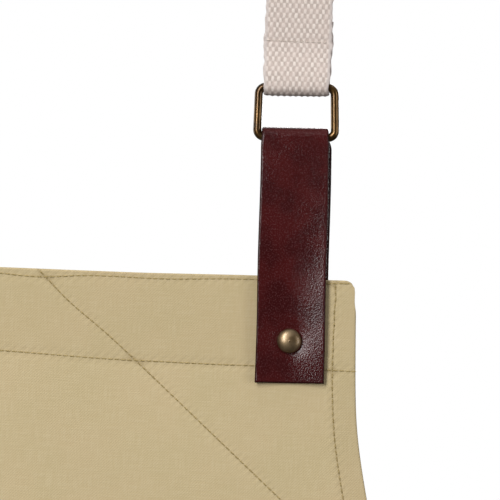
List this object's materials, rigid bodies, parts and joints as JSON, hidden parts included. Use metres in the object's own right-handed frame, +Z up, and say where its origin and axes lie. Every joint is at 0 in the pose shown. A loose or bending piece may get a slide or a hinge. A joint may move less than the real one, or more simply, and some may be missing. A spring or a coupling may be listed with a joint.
{
  "type": "artist smock apron",
  "caption": "Bib apron of cotton twill with patch pockets, hung by a webbing neck strap from brass rings held in riveted leather tabs.",
  "frame": {"origin": "inside top of the neck loop, on the centre line, where a neck or a round form carries the apron", "axes": "+Z up, front of the apron faces -Y, +X to the right of someone looking at the front; the apron hangs below the origin"},
  "size_m": [0.7591, 0.0707, 1.2154],
  "materials": {
    "twill": "matt khaki cotton twill with darker stitching",
    "webbing": "undyed cotton webbing, coarse basket weave",
    "leather": "oxblood leather with a fine grain and a low sheen",
    "brass": "antiqued brass, darkened in the hollows and polished on the high spots"
  },
  "bodies": {
    "neck_strap": {"neck_strap": "webbing"},
    "ring_right": {"ring_right": "brass"},
    "ring_left": {"ring_left": "brass"},
    "apron": {"apron_panel": "twill", "brush_pocket": "twill", "pocket_right": "twill", "pocket_left": "twill", "corner_patch_right": "twill", "corner_patch_left": "twill", "leather_tab_right": "leather", "leather_tab_left": "leather", "tab_rivet_right_cap": "brass", "tab_rivet_right_post": "brass", "pocket_rivet_right_inner_cap": "brass", "pocket_rivet_right_inner_post": "brass", "pocket_rivet_right_outer_cap": "brass", "pocket_rivet_right_outer_post": "brass", "tab_rivet_left_cap": "brass", "tab_rivet_left_post": "brass", "pocket_rivet_left_inner_cap": "brass", "pocket_rivet_left_inner_post": "brass", "pocket_rivet_left_outer_cap": "brass", "pocket_rivet_left_outer_post": "brass"},
    "tie_right": {"waist_tie_right": "webbing"},
    "tie_left": {"waist_tie_left": "webbing"}
  },
  "joints": [
    {"name": "ring_right_swing", "type": "hinge", "parent": "neck_strap", "child": "ring_right", "pos_m": [0.1094, 0, -0.27], "axis": [1, 0, 0], "range_deg": [-70, 70]},
    {"name": "ring_left_swing", "type": "hinge", "parent": "neck_strap", "child": "ring_left", "pos_m": [-0.1094, 0, -0.27], "axis": [1, 0, 0], "range_deg": [-70, 70]},
    {"name": "apron_swing", "type": "hinge", "parent": "ring_right", "child": "apron", "pos_m": [0.1094, 0, -0.2887], "axis": [1, 0, 0], "range_deg": [-70, 70]},
    {"name": "tie_right_swing", "type": "hinge", "parent": "apron", "child": "tie_right", "pos_m": [0.3227, -0.0018, -0.6939], "axis": [1, 0, 0], "range_deg": [-45, 85]},
    {"name": "tie_left_swing", "type": "hinge", "parent": "apron", "child": "tie_left", "pos_m": [-0.3266, -0.0019, -0.6939], "axis": [1, 0, 0], "range_deg": [-45, 85]}
  ],
  "couplings": [
    {"joint": "ring_left_swing", "follows": "ring_right_swing", "ratio": 1}
  ]
}
